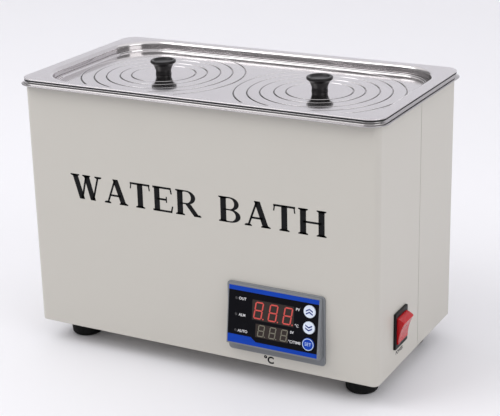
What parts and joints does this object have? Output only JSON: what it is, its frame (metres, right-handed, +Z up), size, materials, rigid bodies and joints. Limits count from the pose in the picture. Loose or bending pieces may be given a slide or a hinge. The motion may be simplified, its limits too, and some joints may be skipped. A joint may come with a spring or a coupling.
{
  "type": "laboratory water bath",
  "caption": "Bench-top heated water bath with a deep-drawn tank, nested lift-out ring lids with knobs, a leaning front temperature controller and a side rocker switch.",
  "frame": {"origin": "on the bench, under the middle of the cabinet", "axes": "+X to the right of someone facing the controller, +Y away from them towards the back, +Z up"},
  "size_m": [0.333, 0.1829, 0.2431],
  "materials": {
    "black_gasket": "black silicone strip",
    "black_plastic": "black moulded nylon",
    "brass": "machined brass",
    "case_plastic": "mid grey fine-textured plastic",
    "circuit_board": "green solder mask",
    "display_window": "smoked display resin",
    "drawn_stainless": "deep-drawn stainless, satin",
    "face_film": "black printed film with blue bands",
    "foot_rubber": "matt black rubber",
    "heater_steel": "annealed stainless sheath, slightly tinted",
    "key_blue": "blue key cap with a pale ring",
    "key_white": "white key cap",
    "knob_bakelite": "black moulded resin, semi-gloss",
    "lamp_lens": "unlit lamp lens",
    "lid_stainless": "pressed stainless with a faint turned grain",
    "painted_steel": "warm grey powder coat, satin",
    "plated_steel": "bright zinc plate",
    "polished_stainless": "bright cold-rolled stainless",
    "rocker_red": "translucent red lens",
    "seal_silicone": "red-brown silicone",
    "wire_sleeve": "silicone wire sleeve"
  },
  "bodies": {
    "cabinet": {"base_nuts": "plated_steel", "base_plate": "painted_steel", "base_screws": "plated_steel", "control_board": "circuit_board", "controller_case": "case_plastic", "controller_clamps": "case_plastic", "controller_face": "face_film", "controller_rear_case": "black_plastic", "controller_terminals": "black_plastic", "cord_gland": "black_plastic", "cord_gland_nut": "black_plastic", "earth_stud": "brass", "foot_front_left": "foot_rubber", "foot_front_right": "foot_rubber", "foot_nuts": "plated_steel", "foot_rear_left": "foot_rubber", "foot_rear_right": "foot_rubber", "foot_screws": "plated_steel", "front_shell": "painted_steel", "heater_seals": "seal_silicone", "heater_terminals": "plated_steel", "heater_tube": "heater_steel", "indicator_leds": "lamp_lens", "internal_wires": "wire_sleeve", "key_switches": "black_plastic", "pv_display": "display_window", "rear_shell": "painted_steel", "rim_gasket": "black_gasket", "sensor_probe": "heater_steel", "sv_display": "display_window", "switch_housing": "black_plastic", "switch_terminals": "brass", "tank": "drawn_stainless", "tank_bushes": "brass", "tank_nuts": "brass", "tank_rim": "polished_stainless", "terminal_block": "key_white", "top_frame": "polished_stainless"},
    "cover": {"cover_plate": "lid_stainless"},
    "shelf": {"shelf": "drawn_stainless"},
    "rocker": {"rocker": "rocker_red"},
    "key_up": {"key_up": "key_white"},
    "key_down": {"key_down": "key_white"},
    "key_set": {"key_set": "key_blue"},
    "left_ring_1": {"left_ring_1": "lid_stainless"},
    "left_ring_2": {"left_ring_2": "lid_stainless"},
    "left_ring_3": {"left_ring_3": "lid_stainless"},
    "left_ring_4": {"left_ring_4": "lid_stainless"},
    "left_lid": {"left_lid_disc": "lid_stainless", "left_knob": "knob_bakelite", "left_knob_washer": "plated_steel", "left_knob_screw": "plated_steel"},
    "right_ring_1": {"right_ring_1": "lid_stainless"},
    "right_ring_2": {"right_ring_2": "lid_stainless"},
    "right_ring_3": {"right_ring_3": "lid_stainless"},
    "right_ring_4": {"right_ring_4": "lid_stainless"},
    "right_lid": {"right_lid_disc": "lid_stainless", "right_knob": "knob_bakelite", "right_knob_washer": "plated_steel", "right_knob_screw": "plated_steel"}
  },
  "joints": [
    {"name": "cover_lift", "type": "slide", "parent": "cabinet", "child": "cover", "axis": [0, 0, 1], "range_m": [0, 0.15]},
    {"name": "shelf_lift", "type": "slide", "parent": "cabinet", "child": "shelf", "axis": [0, 0, 1], "range_m": [0, 0.09]},
    {"name": "rocker_press", "type": "hinge", "parent": "cabinet", "child": "rocker", "pos_m": [0.16, -0.0367, 0.0539], "axis": [0, -1, 0], "range_deg": [0, 30]},
    {"name": "key_up_press", "type": "slide", "parent": "cabinet", "child": "key_up", "axis": [0, 0.9919, -0.1271], "range_m": [0, 0.0005], "stiffness_N_per_m": 600},
    {"name": "key_down_press", "type": "slide", "parent": "cabinet", "child": "key_down", "axis": [0, 0.9919, -0.1271], "range_m": [0, 0.0005], "stiffness_N_per_m": 600},
    {"name": "key_set_press", "type": "slide", "parent": "cabinet", "child": "key_set", "axis": [0, 0.9919, -0.1271], "range_m": [0, 0.0005], "stiffness_N_per_m": 600},
    {"name": "left_ring_1_lift", "type": "slide", "parent": "cover", "child": "left_ring_1", "axis": [0, 0, 1], "range_m": [0, 0.06]},
    {"name": "left_ring_2_lift", "type": "slide", "parent": "left_ring_1", "child": "left_ring_2", "axis": [0, 0, 1], "range_m": [0, 0.06]},
    {"name": "left_ring_3_lift", "type": "slide", "parent": "left_ring_2", "child": "left_ring_3", "axis": [0, 0, 1], "range_m": [0, 0.06]},
    {"name": "left_ring_4_lift", "type": "slide", "parent": "left_ring_3", "child": "left_ring_4", "axis": [0, 0, 1], "range_m": [0, 0.06]},
    {"name": "left_lid_lift", "type": "slide", "parent": "left_ring_4", "child": "left_lid", "axis": [0, 0, 1], "range_m": [0, 0.06]},
    {"name": "right_ring_1_lift", "type": "slide", "parent": "cover", "child": "right_ring_1", "axis": [0, 0, 1], "range_m": [0, 0.06]},
    {"name": "right_ring_2_lift", "type": "slide", "parent": "right_ring_1", "child": "right_ring_2", "axis": [0, 0, 1], "range_m": [0, 0.06]},
    {"name": "right_ring_3_lift", "type": "slide", "parent": "right_ring_2", "child": "right_ring_3", "axis": [0, 0, 1], "range_m": [0, 0.06]},
    {"name": "right_ring_4_lift", "type": "slide", "parent": "right_ring_3", "child": "right_ring_4", "axis": [0, 0, 1], "range_m": [0, 0.06]},
    {"name": "right_lid_lift", "type": "slide", "parent": "right_ring_4", "child": "right_lid", "axis": [0, 0, 1], "range_m": [0, 0.06]}
  ]
}
